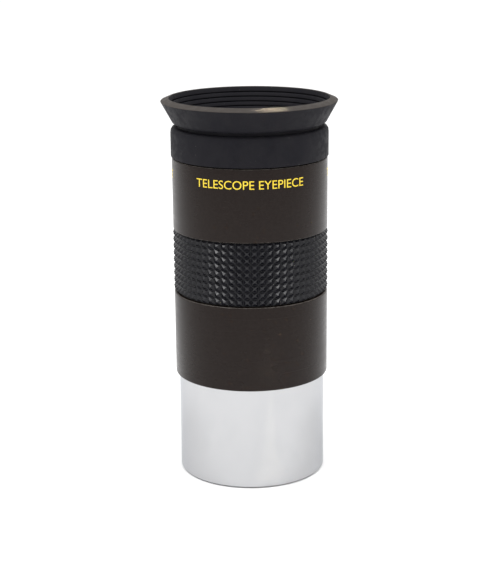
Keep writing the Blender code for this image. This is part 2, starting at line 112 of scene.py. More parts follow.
# %% Selection helpers
def start_fresh():
    """Leave edit mode and select nothing."""
    if bpy.context.object and bpy.context.object.mode != "OBJECT":
        bpy.ops.object.mode_set(mode="OBJECT")
    bpy.ops.object.select_all(action="DESELECT")


def take(piece):
    """Make this the one selected, active object."""
    start_fresh()
    piece.select_set(True)
    bpy.context.view_layer.objects.active = piece


def settle(piece, name, smooth_angle=35):
    """Name a finished piece, apply its place to its mesh and shade its round faces smooth."""
    take(piece)
    piece.name = name
    piece.data.name = name
    bpy.ops.object.transform_apply(location=True, rotation=True, scale=True)
    bpy.ops.object.shade_smooth_by_angle(angle=radians(smooth_angle))
    return piece


# %% Outlines with rounded corners
CURVE_STEPS = 4


def rounded(corners, steps=CURVE_STEPS):
    """Outline points in millimetres. A corner is (radius, height) or (radius, height, rounding)."""
    points = []
    count = len(corners)
    for i, corner in enumerate(corners):
        here = Vector(corner[:2])
        if len(corner) == 2:
            points.append(here)
            continue
        before = Vector(corners[i - 1][:2])
        after = Vector(corners[(i + 1) % count][:2])
        start = here + (before - here).normalized() * corner[2]
        end = here + (after - here).normalized() * corner[2]
        for step in range(steps + 1):
            t = step / steps
            points.append(start * (1 - t) ** 2 + here * 2 * t * (1 - t) + end * t * t)
    return points


# %% Turn an outline round the axis
SIDES = 144
TINY = 1e-7


def turn(name, corners, sides=SIDES, closed=True):
    """Extrude one vertex along the outline and spin it. A closed outline is a ring's section."""
    points = rounded(corners)
    if closed:
        points.append(points[0])
    start_fresh()
    bpy.ops.mesh.primitive_plane_add(size=MM)
    piece = bpy.context.object
    bpy.ops.object.mode_set(mode="EDIT")
    bpy.ops.mesh.select_mode(type="VERT")
    bpy.ops.mesh.select_all(action="SELECT")
    bpy.ops.mesh.merge(type="CENTER")
    at = Vector((0.0, 0.0))
    for number, point in enumerate(points):
        step = point - at
        move = (step.x * MM, 0.0, step.y * MM)
        if number:
            bpy.ops.mesh.extrude_region_move(TRANSFORM_OT_translate={"value": move})
        else:
            bpy.ops.transform.translate(value=move)
        at = point
    bpy.ops.mesh.select_all(action="SELECT")
    bpy.ops.mesh.remove_doubles(threshold=TINY)
    bpy.ops.mesh.spin(steps=sides, angle=2 * pi, center=(0, 0, 0), axis=(0, 0, 1))
    bpy.ops.mesh.select_all(action="SELECT")
    bpy.ops.mesh.remove_doubles(threshold=TINY)
    bpy.ops.mesh.normals_make_consistent(inside=False)
    bpy.ops.object.mode_set(mode="OBJECT")
    piece = settle(piece, name)
    print(f"{name}: {len(piece.data.polygons)} faces")
    return piece


# %% [markdown]
# ## Threads and holes
#
# A screw thread is a ridge that climbs as it goes round. The ridge's section is drawn as a small
# closed wire, and the Screw modifier winds it up the axis. Its raw ends are then cut off level
# with Bisect, which also caps them. A Boolean joins the ridge to the tube, so that the piece
# stays one clean solid. The ridge climbs anticlockwise, seen from above, as on any ordinary
# right-handed thread, so turning the housing anticlockwise unscrews it.

# %% Wind a thread
THREAD_SIDES = 96
ROOTED = 0.1        # how deep a ridge's foot is sunk into the wall


def wind_thread(name, root, crest, pitch, low, high):
    """A helical ridge from the root radius to the crest, between two levels, in millimetres."""
    foot = root - ROOTED if crest > root else root + ROOTED
    start = low - pitch
    section = [
        (foot, start - 0.42 * pitch), (crest, start - 0.08 * pitch),
        (crest, start + 0.08 * pitch), (foot, start + 0.42 * pitch),
    ]
    start_fresh()
    bpy.ops.mesh.primitive_plane_add(size=MM)
    ridge = bpy.context.object
    ridge.name = name
    bpy.ops.object.mode_set(mode="EDIT")
    bpy.ops.mesh.select_mode(type="VERT")
    bpy.ops.mesh.select_all(action="SELECT")
    bpy.ops.mesh.merge(type="CENTER")
    at = Vector((0.0, 0.0))
    for number, point in enumerate(section + section[:1]):
        step = Vector(point) - at
        move = (step.x * MM, 0.0, step.y * MM)
        if number:
            bpy.ops.mesh.extrude_region_move(TRANSFORM_OT_translate={"value": move})
        else:
            bpy.ops.transform.translate(value=move)
        at = Vector(point)
    bpy.ops.mesh.select_all(action="SELECT")
    bpy.ops.mesh.remove_doubles(threshold=TINY)
    bpy.ops.object.mode_set(mode="OBJECT")
    wind = ridge.modifiers.new("wind", "SCREW")
    wind.axis = "Z"
    wind.angle = 2 * pi
    wind.screw_offset = pitch * MM
    wind.iterations = int((high - low) / pitch) + 3
    wind.steps = wind.render_steps = THREAD_SIDES
    wind.use_smooth_shade = False
    bpy.ops.object.modifier_apply(modifier=wind.name)
    bpy.ops.object.mode_set(mode="EDIT")
    for level, up in ((low, False), (high, True)):
        bpy.ops.mesh.select_all(action="SELECT")
        bpy.ops.mesh.bisect(
            plane_co=(0, 0, level * MM), plane_no=(0, 0, 1), use_fill=True,
            clear_inner=not up, clear_outer=up, threshold=TINY,
        )
    bpy.ops.mesh.select_all(action="SELECT")
    bpy.ops.mesh.remove_doubles(threshold=TINY)
    bpy.ops.mesh.normals_make_consistent(inside=False)
    bpy.ops.object.mode_set(mode="OBJECT")
    return ridge


def combine(piece, other, operation):
    """Join or cut with a Boolean, apply it and remove the other shape."""
    take(piece)
    boolean = piece.modifiers.new(operation.lower(), "BOOLEAN")
    boolean.operation = operation
    boolean.solver = "EXACT"
    boolean.object = other
    bpy.ops.object.modifier_apply(modifier=boolean.name)
    bpy.data.objects.remove(other)
    return piece


# %% Cut spanner slots and drill holes
SLOT_WIDTH = 1.2
SLOT_DEPTH = 0.7


def spanner_slots(piece, outer, face):
    """Two slots across a ring's end face, one on each side, for a two-pronged spanner."""
    for side in (1, -1):
        start_fresh()
        bpy.ops.mesh.primitive_cube_add(
            size=MM, location=(side * outer * MM, 0, face * MM),
            scale=(outer, SLOT_WIDTH, 2 * SLOT_DEPTH),
        )
        combine(piece, bpy.context.object, "DIFFERENCE")
    return settle(piece, piece.name)


def drill(piece, hole_radius, start, end, height):
    """A round hole in from the +X side."""
    start_fresh()
    bpy.ops.mesh.primitive_cylinder_add(
        vertices=32, radius=hole_radius * MM, depth=(end - start) * MM,
        location=((start + end) / 2 * MM, 0, height * MM), rotation=(0, pi / 2, 0),
    )
    combine(piece, bpy.context.object, "DIFFERENCE")
    return settle(piece, piece.name)


# %% [markdown]
# ## The chrome barrel
#
# The barrel is a plain plated tube of 1.25 inches that slides into a focuser. Its mouth carries
# a fine inside thread for filters, and a thinner threaded spigot at its top screws into the
# housing. The plating wraps the outside and the mouth, and the bore is painted matt black to
# stop stray light, so the faces inside get a second material later.

# %% Barrel
BARREL_TOP = top("barrel")
BARREL_SEAT = HOUSING_BOTTOM + 0.8      # the barrel's shoulder is let into the housing
BARREL_SEAT_BORE = BARREL_RADIUS + 0.1
BARREL_SHOULDER = BARREL_SEAT - 0.3
BARREL_BORE = 13.6
FILTER_ROOT = 14.25
FILTER_CREST = 13.98
FILTER_DEPTH = 5.0
SPIGOT_ROOT = 14.5
SPIGOT_CREST = 14.9

barrel = turn("chrome_barrel", [
    (SPIGOT_ROOT, BARREL_TOP, 0.15),
    (SPIGOT_ROOT, BARREL_SHOULDER + 0.7),
    (SPIGOT_ROOT - 0.25, BARREL_SHOULDER + 0.5),
    (SPIGOT_ROOT - 0.25, BARREL_SHOULDER),
    (BARREL_RADIUS, BARREL_SHOULDER, 0.16),
    (BARREL_RADIUS, 0.4, 0.12),
    (BARREL_RADIUS - 0.4, 0.0, 0.12),
    (FILTER_ROOT + 0.2, 0.0, 0.08),
    (FILTER_ROOT, 0.2),
    (FILTER_ROOT, FILTER_DEPTH),
    (BARREL_BORE, FILTER_DEPTH + FILTER_ROOT - BARREL_BORE, 0.2),
    (BARREL_BORE, BARREL_TOP),
], sides=192)
spigot_thread = wind_thread(
    "spigot_thread", SPIGOT_ROOT, SPIGOT_CREST, 0.75, BARREL_SHOULDER + 0.75, BARREL_TOP - 0.1)
combine(barrel, spigot_thread, "UNION")
filter_thread = wind_thread(
    "filter_thread", FILTER_ROOT, FILTER_CREST, 0.6, 0.35, FILTER_DEPTH - 0.1)
combine(barrel, filter_thread, "UNION")
settle(barrel, "chrome_barrel", smooth_angle=30)
print("barrel faces:", len(barrel.data.polygons))

# %% [markdown]
# ## The two housing halves
#
# Both halves are black anodised aluminium. The lower half screws on the barrel, and the upper
# half screws into it under the grip, where a small grub screw locks the joint. Every edge that
# shows is broken by a narrow rounding, which draws a thin bright line round the body.

# %% Lower half
SPIGOT_POCKET = BARREL_TOP + 0.3
HOUSING_THREAD_ROOT = 15.3
HOUSING_THREAD_CREST = 15.0
LOWER_BORE = 13.9
JOINT_TOP = top("lower_housing")
JOINT_POCKET = 41.62
JOINT_BORE = 14.7
GRIP_SEAT = 15.5
HOUSING_EDGE_LOW = GRIP_BOTTOM - SEAM
HOUSING_EDGE_HIGH = GRIP_TOP + SEAM

lower_half = turn("housing_lower_half", [
    (GRIP_SEAT, JOINT_TOP, 0.12),
    (GRIP_SEAT, HOUSING_EDGE_LOW),
    (HOUSING_RADIUS, HOUSING_EDGE_LOW, 0.24),
    (HOUSING_RADIUS, HOUSING_BOTTOM, 0.2),
    (BARREL_SEAT_BORE, HOUSING_BOTTOM, 0.06),
    (BARREL_SEAT_BORE, BARREL_SEAT),
    (HOUSING_THREAD_ROOT, BARREL_SEAT, 0.1),
    (HOUSING_THREAD_ROOT, SPIGOT_POCKET),
    (LOWER_BORE, SPIGOT_POCKET),
    (LOWER_BORE, JOINT_POCKET),
    (JOINT_BORE, JOINT_POCKET),
    (JOINT_BORE, JOINT_TOP),
], sides=192)
barrel_thread = wind_thread(
    "barrel_thread", HOUSING_THREAD_ROOT, HOUSING_THREAD_CREST, 0.75,
    BARREL_SEAT + 0.2, SPIGOT_POCKET - 0.15)
combine(lower_half, barrel_thread, "UNION")

# %% Upper half
NECK_RADIUS = 15.1
JOINT_RADIUS = 14.6
JOINT_END = bottom("upper_housing")
LIGHT_BORE = 13.0
CELL_SHELF = bottom("lens_cell") - 0.3
CELL_BORE = 14.1

upper_half = turn("housing_upper_half", [
    (NECK_RADIUS, NECK_TOP, 0.2),
    (NECK_RADIUS, SHOULDER),
    (HOUSING_RADIUS, SHOULDER, 0.2),
    (HOUSING_RADIUS, HOUSING_EDGE_HIGH, 0.14),
    (GRIP_SEAT, HOUSING_EDGE_HIGH),
    (GRIP_SEAT, JOINT_TOP + 0.3),
    (JOINT_RADIUS, JOINT_TOP + 0.3),
    (JOINT_RADIUS, JOINT_END, 0.2),
    (LIGHT_BORE, JOINT_END, 0.1),
    (LIGHT_BORE, CELL_SHELF),
    (CELL_BORE, CELL_SHELF),
    (CELL_BORE, NECK_TOP, 0.15),
], sides=192)

# %% Hole for the lock screw
screw_low, screw_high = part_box("housing_lock_screw")
SCREW_HEIGHT = (screw_low.z + screw_high.z) / 2 / MM
SCREW_HOLE = (screw_high.z - screw_low.z) / 2 / MM + 0.1
for half in (lower_half, upper_half):
    drill(half, SCREW_HOLE, screw_low.x / MM - 0.3, HOUSING_RADIUS, SCREW_HEIGHT)
    settle(half, half.name, smooth_angle=30)
print(f"lock screw hole {2 * SCREW_HOLE:.2f} mm wide, {SCREW_HEIGHT:.2f} mm up")

# %% [markdown]
# ## The lettering
#
# A ring of yellow capitals runs round the upper half. The words only say what the thing is, and
# the same plain phrase is set three times, evenly spaced. Blender's own font is used in its own
# proportions, drawn flat and given a hair of thickness, as paint has. Each phrase becomes a
# mesh, and the whole strip is cut into narrow upright slices so that it can follow the curve.
# Simple Deform then bends it into a circle of exactly the housing's radius.

# %% Flat words
PHRASE = "TELESCOPE EYEPIECE"
PHRASE_COUNT = 3
CAP_HEIGHT = 1.8
LETTER_LEVEL = 65.5
PAINT_PROUD = 0.02
FONT_CAPITAL = 0.71     # how tall this font's capitals are at size 1
PHRASE_STEP = 2 * pi * HOUSING_RADIUS / PHRASE_COUNT


def flat_phrase(centre):
    """The phrase lying in the XY plane, centred on a place along the strip, as a mesh."""
    start_fresh()
    bpy.ops.object.text_add()
    phrase = bpy.context.object
    phrase.data.body = PHRASE
    phrase.data.align_x = "CENTER"
    phrase.data.size = CAP_HEIGHT / FONT_CAPITAL * MM
    phrase.data.extrude = PAINT_PROUD * MM
    phrase.data.resolution_u = 6
    bpy.ops.object.convert(target="MESH")
    phrase = bpy.context.object
    phrase.location = (centre * MM, LETTER_LEVEL * MM, 0)
    bpy.ops.object.transform_apply(location=True, rotation=True, scale=True)
    return phrase


phrases = [flat_phrase((turn_number - 1) * PHRASE_STEP) for turn_number in range(PHRASE_COUNT)]
start_fresh()
for phrase in phrases:
    phrase.select_set(True)
bpy.context.view_layer.objects.active = phrases[0]
bpy.ops.object.join()
lettering = bpy.context.object
flat_xs = [v.co.x for v in lettering.data.vertices]
flat_ys = [v.co.y for v in lettering.data.vertices]
print(f"strip of words: {(max(flat_xs) - min(flat_xs)) / MM:.1f} mm long, "
      f"letters from {min(flat_ys) / MM:.2f} to {max(flat_ys) / MM:.2f} mm")

# %% Slice the strip and bend it round the housing
SLICE = 0.5         # widest slice, so that a flat face never sinks below the curve

take(lettering)
bpy.ops.object.mode_set(mode="EDIT")
slice_at = min(flat_xs) / MM + SLICE
while slice_at < max(flat_xs) / MM:
    bpy.ops.mesh.select_all(action="SELECT")
    bpy.ops.mesh.bisect(plane_co=(slice_at * MM, 0, 0), plane_no=(1, 0, 0))
    slice_at += SLICE
bpy.ops.mesh.select_all(action="SELECT")
bpy.ops.mesh.remove_doubles(threshold=TINY)
bpy.ops.transform.rotate(
    value=-pi / 2, orient_axis="X", orient_type="GLOBAL", center_override=(0, 0, 0))
bpy.ops.object.mode_set(mode="OBJECT")
span = max(v.co.x for v in lettering.data.vertices) - min(v.co.x for v in lettering.data.vertices)
bend = lettering.modifiers.new("bend", "SIMPLE_DEFORM")
bend.deform_method = "BEND"
bend.deform_axis = "Z"
bend.angle = span / (HOUSING_RADIUS * MM)
bpy.ops.object.modifier_apply(modifier=bend.name)
bpy.ops.object.mode_set(mode="EDIT")
bpy.ops.mesh.select_all(action="SELECT")
bpy.ops.transform.translate(value=(0, -HOUSING_RADIUS * MM, 0))
bpy.ops.mesh.normals_make_consistent(inside=False)
bpy.ops.object.mode_set(mode="OBJECT")
settle(lettering, "yellow_lettering")
out = max(v.co.xy.length for v in lettering.data.vertices) / MM
print(f"lettering bent to a radius of {out:.3f} mm, {len(lettering.data.polygons)} faces")

# %% [markdown]
# ## The grip
#
# The grip is a moulded rubber band of small pyramids in straight rows and columns. A ring with
# one face for each pyramid is spun first. Insetting each face by itself leaves the flat valleys
# between the pyramids, and a second inset with a depth raises the slopes and leaves a blunt tip.
# A last bevel takes the sharpness off the ridges, because rubber is never sharp.

# %% Grip band
GRIP_ROWS = 9
GRIP_COLUMNS = 64
GRIP_INNER = 15.6
GRIP_BASE = 16.05
PYRAMID_HEIGHT = 0.67
VALLEY = 0.035
BLUNT = 0.09
RIDGE_SOFTNESS = 0.010

pitch = (GRIP_TOP - GRIP_BOTTOM) / GRIP_ROWS
grip_outline = [(GRIP_INNER, GRIP_BOTTOM), (GRIP_INNER, GRIP_TOP)]
grip_outline += [(GRIP_BASE, GRIP_TOP - pitch * row) for row in range(GRIP_ROWS + 1)]
grip = turn("grip_band", grip_outline, sides=GRIP_COLUMNS)


def select_faces(piece, wanted):
    """Select only the faces that this test accepts, and go into edit mode."""
    take(piece)
    bpy.ops.object.mode_set(mode="EDIT")
    bpy.ops.mesh.select_mode(type="FACE")
    bpy.ops.mesh.select_all(action="DESELECT")
    bpy.ops.object.mode_set(mode="OBJECT")
    for face in piece.data.polygons:
        face.select = bool(wanted(face))
    bpy.ops.object.mode_set(mode="EDIT")


select_faces(grip, lambda face: face.center.xy.length > 15.9 * MM and abs(face.normal.z) < 0.5)
bpy.ops.mesh.inset(thickness=VALLEY * MM, use_individual=True)
column = 2 * pi * GRIP_BASE / GRIP_COLUMNS
slope_run = (min(pitch, column) - 2 * VALLEY - BLUNT) / 2
bpy.ops.mesh.inset(
    thickness=slope_run * MM, depth=PYRAMID_HEIGHT * MM, use_individual=True)
bpy.ops.object.mode_set(mode="OBJECT")
print(f"pyramids {pitch:.2f} mm apart, tips at "
      f"{max(v.co.xy.length for v in grip.data.vertices) / MM:.3f} mm")

# %% Soften the ridges
take(grip)
bpy.ops.object.mode_set(mode="EDIT")
bpy.ops.mesh.select_mode(type="EDGE")
bpy.ops.mesh.select_all(action="DESELECT")
bpy.ops.object.mode_set(mode="OBJECT")
for edge in grip.data.edges:
    a, b = (grip.data.vertices[i].co for i in edge.vertices)
    edge.select = abs(a.xy.length - b.xy.length) > 0.4 * MM and abs(a.z - b.z) > 0.4 * MM
bpy.ops.object.mode_set(mode="EDIT")
bpy.ops.mesh.bevel(offset=RIDGE_SOFTNESS * MM, segments=1, affect="EDGES")
bpy.ops.mesh.select_all(action="SELECT")
bpy.ops.mesh.normals_make_consistent(inside=False)
bpy.ops.object.mode_set(mode="OBJECT")
settle(grip, "grip_band", smooth_angle=5)
print("grip faces:", len(grip.data.polygons))

# %% [markdown]
# ## Inside the housing
#
# Seen from above, the glass sits in a black cell under a lock ring with two spanner slots. Seen
# from below, the barrel shows the field stop, a thin ring whose sharp edge bounds the view. A
# ridged baffle between them swallows stray light. All of these are turned as well.

# %% Cell, lock ring, stop and baffle
CELL_RADIUS = 14.0
LENS_BORE = 12.1
CELL_APERTURE = 11.2
CELL_LIP = 72.9
CELL_TOP = top("lens_cell")
cell = turn("lens_cell_tube", [
    (CELL_RADIUS, CELL_TOP, 0.15),
    (CELL_RADIUS, bottom("lens_cell"), 0.15),
    (LENS_BORE, bottom("lens_cell"), 0.1),
    (LENS_BORE, CELL_LIP),
    (CELL_APERTURE, CELL_LIP, 0.05),
    (CELL_APERTURE, CELL_LIP + 0.4, 0.05),
    (CELL_APERTURE + 0.4, CELL_TOP, 0.05),
])
RING_LOW = bottom("cell_lock_ring")
RING_TOP = top("cell_lock_ring")
lock_ring = turn("cell_lock_ring_turned", [
    (CELL_RADIUS, RING_TOP, 0.1),
    (CELL_RADIUS, RING_LOW, 0.1),
    (11.6, RING_LOW),
    (11.6, RING_LOW + 0.2, 0.05),
    (12.7, RING_TOP, 0.08),
])
spanner_slots(lock_ring, CELL_RADIUS, RING_TOP)
STOP_LOW = bottom("field_stop_ring")
STOP_TOP = top("field_stop_ring")
field_stop = turn("field_stop_turned", [
    (13.8, STOP_TOP, 0.1),
    (13.8, STOP_LOW, 0.1),
    (12.775, STOP_LOW, 0.1),
    (11.75, STOP_TOP - 0.2),
    (11.75, STOP_TOP),
])
spanner_slots(field_stop, 13.8, STOP_LOW)
BAFFLE_LOW = bottom("light_baffle")
BAFFLE_TOP = top("light_baffle")
ridge_pitch = (BAFFLE_TOP - BAFFLE_LOW) / 3
baffle_outline = [(12.9, BAFFLE_TOP, 0.05), (12.9, BAFFLE_LOW, 0.05)]
for ridge in range(3):
    foot = BAFFLE_LOW + ridge_pitch * ridge
    baffle_outline += [(12.3, foot), (11.8, foot + 0.9 * ridge_pitch, 0.03)]
baffle_outline.append((12.3, BAFFLE_TOP))
baffle = turn("light_baffle_turned", baffle_outline)


# %% Plain rings round the glass
def plain_ring(name, node, outer, inner, edge):
    """A ring between a node's levels, with every edge rounded a little."""
    low, high = bottom(node), top(node)
    return turn(name, [
        (outer, high, edge), (outer, low, edge), (inner, low, edge), (inner, high, edge)])


LENS_RADIUS = 12.0
eye_seal = plain_ring("eye_seal_turned", "eye_lens_seal", LENS_RADIUS, 11.4, 0.08)
field_seal = plain_ring("field_seal_turned", "field_lens_seal", LENS_RADIUS, 11.4, 0.08)
spacer = plain_ring("lens_spacer_turned", "lens_spacer", LENS_RADIUS, 11.1, 0.08)
retainer = plain_ring("field_retainer_turned", "field_lens_retainer", LENS_RADIUS, 11.2, 0.1)
spanner_slots(retainer, LENS_RADIUS, bottom("field_lens_retainer"))

# %% [markdown]
# ## The glass
#
# The eyepiece has two cemented pairs of lenses with their strongly curved crowns facing each
# other. Each face is part of a sphere, so its depth at a radius comes straight from the circle.
# A half section from the axis to the rim is spun into a closed lens.

# %% Lens outlines
FACE_STEPS = 14
OUTER_CURVE = 290.0
CEMENT_CURVE = 22.3
INNER_CURVE = 33.3
CEMENTED = 0.02         # cemented faces reach this far into each other, so no air parts them


def sag(curve, r):
    """How far a sphere of this radius has fallen away at r from its axis."""
    return curve - sqrt(curve * curve - r * r)


def face_points(edge, curve, bulge):
    """Points of one face from the axis to the rim. Bulge 1 rises at the centre, -1 sinks."""
    rim = sag(curve, LENS_RADIUS)
    radii = [LENS_RADIUS * i / FACE_STEPS for i in range(FACE_STEPS + 1)]
    return [(r, edge + bulge * (rim - sag(curve, r))) for r in radii]


# (piece, node, its top face, its bottom face); a face is (edge level, curve, bulge)
LENSES = [
    ("eye_flint_glass", "eye_lens_flint", (72.3, OUTER_CURVE, 1), (67.45, CEMENT_CURVE, 1)),
    ("eye_crown_glass", "eye_lens_crown", (67.45 + CEMENTED, CEMENT_CURVE, 1), (66.15, INNER_CURVE, -1)),
    ("field_crown_glass", "field_lens_crown", (61.17, INNER_CURVE, 1), (59.97, CEMENT_CURVE, -1)),
    ("field_flint_glass", "field_lens_flint", (59.97 + CEMENTED, CEMENT_CURVE, -1), (55.02, OUTER_CURVE, -1)),
]
lenses = []
for name, node, upper, lower in LENSES:
    outline = face_points(*upper) + face_points(*lower)[::-1]
    lens = turn(name, outline, sides=128, closed=False)
    lenses.append(lens)
    low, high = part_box(node)
    print(f"{name}: {min(v.co.z for v in lens.data.vertices) / MM:.2f} to "
          f"{max(v.co.z for v in lens.data.vertices) / MM:.2f} mm, "
          f"node {low.z / MM:.2f} to {high.z / MM:.2f} mm")

# %% [markdown]
# ## The rubber eyecup
#
# The eyecup is one soft moulding: a sleeve that grips the housing's neck, a groove where it
# flexes, and a cone that ends in a flat sloping rim. Its inner wall falls in small steps. The
# outline is drawn once all the way round and spun. The cone's wall is cut into many rows.

# %% Eyecup outline
SLEEVE_RADIUS = radius("eyecup_sleeve")
SLEEVE_LOW = bottom("eyecup_sleeve")
FLANGE = NECK_TOP + 0.3
COLLAR_RADIUS = 15.2
COLLAR_INNER = 14.2
SLEEVE_TOP = FLANGE + 0.35
CONE_LOW = bottom("eyecup_skirt")
RIM_RADIUS = radius("eyecup_lip")
RIM_OUTER_LEVEL = RIM_TOP - 0.71
SLOPE = 0.548               # the cone widens this much for each unit upward
CONE_WALL = 2.09            # measured level
STEP_LEVELS = [81.02, 80.05, 79.07, 78.13, 77.2]
STEP_BITE = 0.24            # how far each step sits back from the cone's straight line
GROOVE_DEEP = 0.62          # a narrow groove undercuts each step's corner
GROOVE_HIGH = 0.26


def cone_outer(level):
    return RIM_RADIUS + SLOPE * (level - RIM_OUTER_LEVEL)


def cone_inner(level):
    return cone_outer(level) - CONE_WALL


outline = [
    (15.2, SLEEVE_LOW, 0.1),
    (15.2, FLANGE),
    (COLLAR_INNER, FLANGE),
    (COLLAR_INNER, 76.75, 0.1),
]
for level in reversed(STEP_LEVELS):
    ledge = cone_inner(level)
    outline += [
        (ledge, level - 0.13, 0.1),
        (ledge + GROOVE_DEEP, level - 0.13, 0.03),
        (ledge + GROOVE_DEEP, level - 0.13 + GROOVE_HIGH, 0.03),
        (ledge + STEP_BITE, level - 0.13 + GROOVE_HIGH, 0.06),
    ]
outline += [(cone_inner(RIM_TOP), RIM_TOP, 0.2), (RIM_RADIUS, RIM_OUTER_LEVEL, 0.16)]
rows = 12
foot = CONE_LOW + 0.6
outline += [
    (cone_outer(level), level)
    for level in (RIM_OUTER_LEVEL + (foot - RIM_OUTER_LEVEL) * row / rows for row in range(1, rows))
]
outline += [
    (cone_outer(CONE_LOW), CONE_LOW, 0.55),
    (COLLAR_RADIUS, CONE_LOW - 0.05, 0.1),
    (COLLAR_RADIUS, SLEEVE_TOP - 0.12, 0.15),
    (SLEEVE_RADIUS, SLEEVE_TOP, 1.3),
    (SLEEVE_RADIUS, SLEEVE_LOW, 0.18),
]
eyecup = turn("rubber_eyecup", outline, sides=160)

settle(eyecup, "rubber_eyecup", smooth_angle=50)
print(f"eyecup: rim radius {max(v.co.xy.length for v in eyecup.data.vertices) / MM:.2f} mm")

# %% Mark the rim that is painted paler as painted light
# The pale rim is marked on the faces themselves.
# Painted light: these faces of the up-facing rim get a paler rubber colour, standing for the light that falls
# on them.
RIM_INNER_RADIUS = 16.95
lightened = eyecup.data.attributes.new("painted_rim_light", "FLOAT", "FACE")
for face in eyecup.data.polygons:
    high = face.center.z > (RIM_OUTER_LEVEL - 0.05) * MM
    wide = face.center.xy.length > RIM_INNER_RADIUS * MM
    lightened.data[face.index].value = float(high and wide)
print("faces on the handled rim:", sum(mark.value > 0.5 for mark in lightened.data))

# %% [markdown]
# ## Shared surface effects
#
# Real surfaces are never even. Five small node groups hold the effects that the finishes share:
# lathe marks, fine grain, smudges, wear along an edge and specks of dust. They all work in
# millimetres on Object coordinates, so that a value means the same on every piece. A group only
# gives masks and heights, and each material decides what to do with them.

# %% Group helpers
def new_group(name, inputs, outputs):
    """An empty shader node group with these float inputs (name, value) and float outputs."""
    group = bpy.data.node_groups.new(name, "ShaderNodeTree")
    for label, value in inputs:
        socket = group.interface.new_socket(label, in_out="INPUT", socket_type="NodeSocketFloat")
        socket.default_value = value
    for label in outputs:
        group.interface.new_socket(label, in_out="OUTPUT", socket_type="NodeSocketFloat")
    start = group.nodes.new("NodeGroupInput")
    end = group.nodes.new("NodeGroupOutput")
    return group, start, end


def add_math(tree, operation, first, second=None, clamp=False):
    """A Math node. An input is a socket to link or a number to set."""
    node = tree.nodes.new("ShaderNodeMath")
    node.operation = operation
    node.use_clamp = clamp
    for socket, value in zip(node.inputs, (first, second)):
        if isinstance(value, bpy.types.NodeSocket):
            tree.links.new(value, socket)
        elif value is not None:
            socket.default_value = value
    return node.outputs[0]


def place_in_mm(tree, stretch=(1, 1, 1)):
    """The point's place on the piece, in millimetres, with an optional stretch on each axis."""
    where = tree.nodes.new("ShaderNodeTexCoord")
    scale = tree.nodes.new("ShaderNodeMapping")
    scale.inputs["Scale"].default_value = [s / MM for s in stretch]
    tree.links.new(where.outputs["Object"], scale.inputs["Vector"])
    return scale.outputs["Vector"]


def add_noise(tree, vector, scale, detail=2.0, roughness=0.5):
    """A Noise texture at a place; scale is a socket or a number."""
    noise = tree.nodes.new("ShaderNodeTexNoise")
    noise.inputs["Detail"].default_value = detail
    noise.inputs["Roughness"].default_value = roughness
    tree.links.new(vector, noise.inputs["Vector"])
    if isinstance(scale, bpy.types.NodeSocket):
        tree.links.new(scale, noise.inputs["Scale"])
    else:
        noise.inputs["Scale"].default_value = scale
    return noise.outputs["Fac"]


def add_range(tree, value, low, high, to_low=0.0, to_high=1.0):
    """Map a value between two numbers, clamped, with a smooth start and end."""
    node = tree.nodes.new("ShaderNodeMapRange")
    node.interpolation_type = "SMOOTHSTEP"
    tree.links.new(value, node.inputs["Value"])
    for label, number in (
            ("From Min", low), ("From Max", high), ("To Min", to_low), ("To Max", to_high)):
        if isinstance(number, bpy.types.NodeSocket):
            tree.links.new(number, node.inputs[label])
        else:
            node.inputs[label].default_value = number
    return node.outputs["Result"]


def distance_from_axis(tree, vector):
    """Radius of the point, in millimetres."""
    flat = tree.nodes.new("ShaderNodeVectorMath")
    flat.operation = "MULTIPLY"
    flat.inputs[1].default_value = (1, 1, 0)
    tree.links.new(vector, flat.inputs[0])
    length = tree.nodes.new("ShaderNodeVectorMath")
    length.operation = "LENGTH"
    tree.links.new(flat.outputs["Vector"], length.inputs[0])
    return length.outputs["Value"]


def height_of(tree, vector):
    """Level of the point, in millimetres."""
    parts = tree.nodes.new("ShaderNodeSeparateXYZ")
    tree.links.new(vector, parts.inputs["Vector"])
    return parts.outputs["Z"]


# %% Lathe marks
def make_lathe_marks():
    """Fine rings left by the tool, on round walls and on flat faces alike."""
    group, start, end = new_group(
        "lathe_marks", [("Marks per mm", 6.0)], ["Height", "Streak"])
    where = place_in_mm(group)
    along = add_math(group, "ADD", height_of(group, where), distance_from_axis(group, where))
    rings = group.nodes.new("ShaderNodeCombineXYZ")
    group.links.new(along, rings.inputs["Z"])
    fine = add_noise(group, rings.outputs["Vector"], start.outputs["Marks per mm"], 3.0, 0.7)
    broad = add_noise(group, rings.outputs["Vector"], 0.7, 2.0)
    group.links.new(fine, end.inputs["Height"])
    group.links.new(broad, end.inputs["Streak"])
    return group


# %% Fine grain
def make_fine_grain():
    """An even, tiny roughness, as on moulded rubber or bead-blasted metal."""
    group, start, end = new_group("fine_grain", [("Grains per mm", 6.0)], ["Height", "Mask"])
    where = place_in_mm(group)
    grain = add_noise(group, where, start.outputs["Grains per mm"], 4.0, 0.65)
    clumps = add_noise(group, where, add_math(
        group, "MULTIPLY", start.outputs["Grains per mm"], 0.12), 3.0, 0.6)
    group.links.new(grain, end.inputs["Height"])
    group.links.new(add_range(group, clumps, 0.35, 0.65), end.inputs["Mask"])
    return group


# %% Smudges
def make_smudges():
    """Soft patches where fingers have touched a surface, a few millimetres across."""
    group, start, end = new_group(
        "smudges", [("Patches per mm", 0.12), ("Cover", 0.5)], ["Mask"])
    where = place_in_mm(group, (1, 1, 0.6))
    patches = add_noise(group, where, start.outputs["Patches per mm"], 5.0, 0.62)
    edge = add_math(group, "SUBTRACT", 1.0, start.outputs["Cover"])
    low = add_math(group, "SUBTRACT", edge, 0.12)
    high = add_math(group, "ADD", edge, 0.12)
    group.links.new(add_range(group, patches, low, high), end.inputs["Mask"])
    return group


